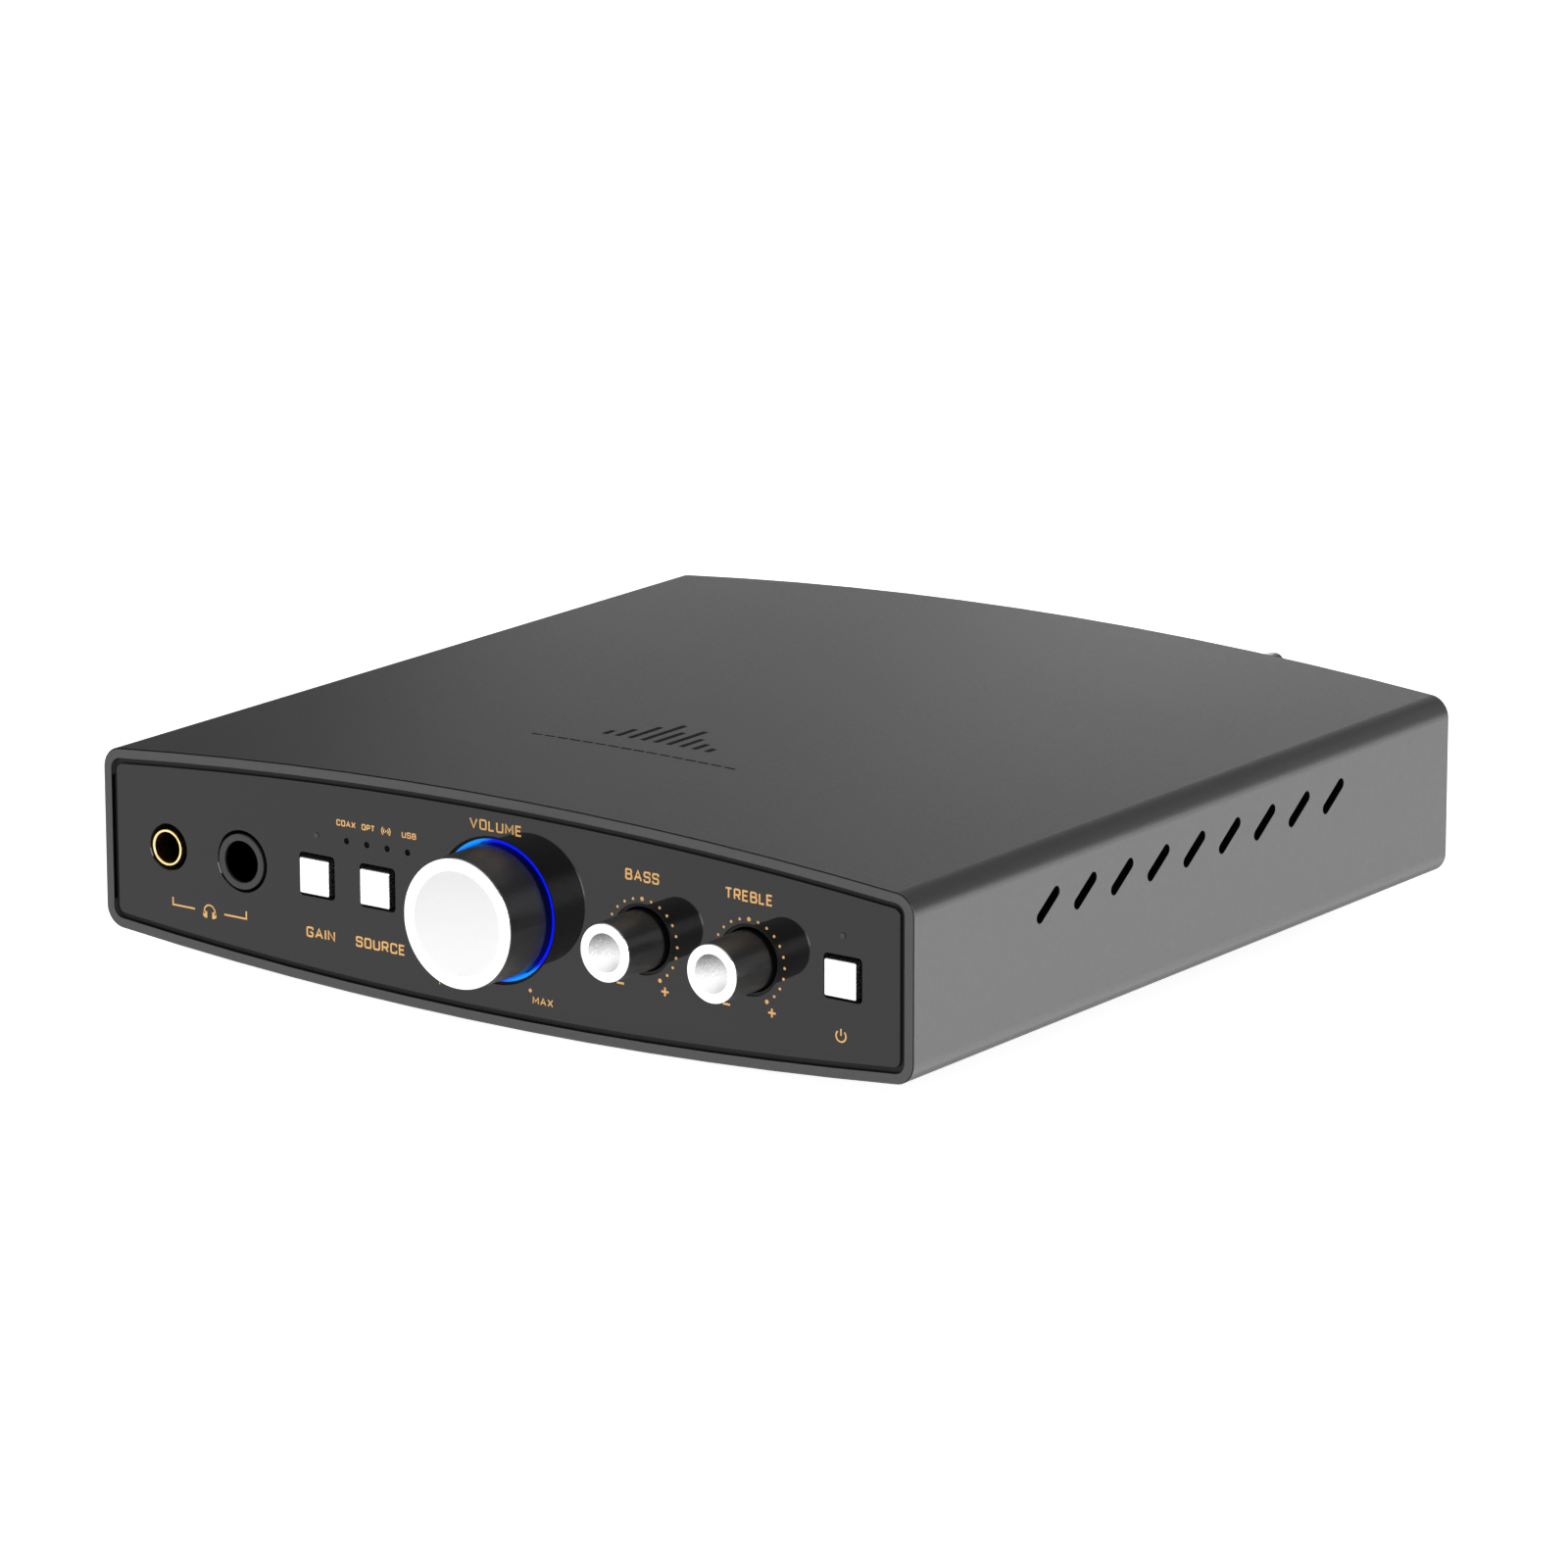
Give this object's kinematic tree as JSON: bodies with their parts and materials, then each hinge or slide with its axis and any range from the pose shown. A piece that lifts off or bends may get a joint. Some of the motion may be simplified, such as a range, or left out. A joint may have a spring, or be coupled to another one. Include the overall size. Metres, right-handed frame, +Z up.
{
  "type": "desktop dac and headphone amplifier",
  "caption": "Low bowed metal box with a volume knob in a light ring, tone knobs, push buttons and headphone sockets in front, and line, digital and power sockets with an antenna behind.",
  "frame": {"origin": "on the surface the feet stand on, under the middle of the overall box from the knob faces to the folded antenna", "axes": "+X to the right seen from the front, +Y to the rear, +Z up"},
  "size_m": [0.188, 0.2142, 0.0463],
  "materials": {
    "sleeve_metal": "fine bead-blasted dark grey anodised",
    "panel_metal": "gloss dark grey, mirror-like",
    "rear_metal": "satin black anodised",
    "screw_steel": "black zinc plated",
    "foot_rubber": "matt black rubber",
    "board_laminate": "solder-masked glass laminate",
    "socket_plastic": "moulded black",
    "gold_plate": "polished gold plating",
    "ring_plastic": "translucent, lit blue",
    "window_plastic": "smoked clear plastic",
    "led_package": "white lamp packages",
    "control_silver": "bright satin silver",
    "knob_black": "gloss black anodised",
    "shaft_steel": "bright turned steel",
    "pot_case": "zinc plated",
    "sink_metal": "black anodised extrusion",
    "component_black": "moulded black",
    "socket_nickel": "bright nickel",
    "insert_orange": "moulded orange",
    "insert_red": "moulded red",
    "insert_white": "moulded white",
    "tongue_plastic": "moulded black with plated contacts",
    "antenna_metal": "black nickel over brass",
    "antenna_plastic": "fine matt black",
    "lead_jacket": "grey jacket"
  },
  "bodies": {
    "chassis": {"sleeve": "sleeve_metal", "front_panel": "panel_metal", "rear_panel": "rear_metal", "rear_panel_screws": "screw_steel", "front_panel_screws": "screw_steel", "foot_screws": "screw_steel", "feet": "foot_rubber", "main_board": "board_laminate", "front_board": "board_laminate", "headphone_jack": "socket_plastic", "balanced_jack": "socket_plastic", "optical_socket": "socket_plastic", "dc_inlet": "socket_plastic", "phono_housings": "socket_plastic", "board_header": "socket_plastic", "button_switches": "socket_plastic", "balanced_jack_ring": "gold_plate", "antenna_socket": "gold_plate", "antenna_socket_nut": "gold_plate", "light_ring": "ring_plastic", "indicator_light_pipes": "window_plastic", "board_leds": "led_package", "dc_inlet_pin": "shaft_steel", "volume_pot": "pot_case", "bass_pot": "pot_case", "treble_pot": "pot_case", "wireless_module": "pot_case", "usb_socket_shell": "pot_case", "heat_sink": "sink_metal", "power_transistors": "component_black", "board_chips": "component_black", "capacitors": "component_black", "power_inductors": "component_black", "output_relays": "component_black", "phono_sleeves": "socket_nickel", "coax_insert": "insert_orange", "line_out_right_insert": "insert_red", "line_out_left_insert": "insert_white", "usb_socket_tongue": "tongue_plastic", "antenna_collar": "antenna_metal", "antenna_lead": "lead_jacket"},
    "volume_control": {"volume_knob": "knob_black", "volume_knob_cap": "control_silver", "volume_shaft": "shaft_steel"},
    "bass_control": {"bass_knob": "knob_black", "bass_knob_cap": "control_silver", "bass_shaft": "shaft_steel"},
    "treble_control": {"treble_knob": "knob_black", "treble_knob_cap": "control_silver", "treble_shaft": "shaft_steel"},
    "gain_key": {"gain_button": "control_silver", "gain_plunger": "socket_plastic"},
    "source_key": {"source_button": "control_silver", "source_plunger": "socket_plastic"},
    "power_key": {"power_button": "control_silver", "power_plunger": "socket_plastic"},
    "antenna_base": {"antenna_elbow": "antenna_plastic", "antenna_pin": "shaft_steel"},
    "antenna_arm": {"antenna_mast": "antenna_plastic"}
  },
  "joints": [
    {"name": "volume_turn", "type": "hinge", "parent": "chassis", "child": "volume_control", "pos_m": [0, -0.0959, 0.02445], "axis": [0, 1, 0], "range_deg": [-15, 285]},
    {"name": "bass_turn", "type": "hinge", "parent": "chassis", "child": "bass_control", "pos_m": [0.03385, -0.0959, 0.02445], "axis": [0, 1, 0], "range_deg": [-10, 290]},
    {"name": "treble_turn", "type": "hinge", "parent": "chassis", "child": "treble_control", "pos_m": [0.0578, -0.0959, 0.02445], "axis": [0, 1, 0], "range_deg": [-10, 290]},
    {"name": "gain_press", "type": "slide", "parent": "chassis", "child": "gain_key", "axis": [0, 1, 0], "range_m": [0, 0.0005], "stiffness_N_per_m": 1500, "springref_m": -0.0005},
    {"name": "source_press", "type": "slide", "parent": "chassis", "child": "source_key", "axis": [0, 1, 0], "range_m": [0, 0.0005], "stiffness_N_per_m": 1500, "springref_m": -0.0005},
    {"name": "power_press", "type": "slide", "parent": "chassis", "child": "power_key", "axis": [0, 1, 0], "range_m": [0, 0.0005], "stiffness_N_per_m": 1500, "springref_m": -0.0005},
    {"name": "antenna_swivel", "type": "hinge", "parent": "chassis", "child": "antenna_base", "pos_m": [0.04, 0.0955, 0.03486], "axis": [0, 1, 0], "range_deg": [-30, 210]},
    {"name": "antenna_fold", "type": "hinge", "parent": "antenna_base", "child": "antenna_arm", "pos_m": [0.04, 0.1025, 0.03486], "axis": [0, 0, -1], "range_deg": [0, 90]}
  ]
}
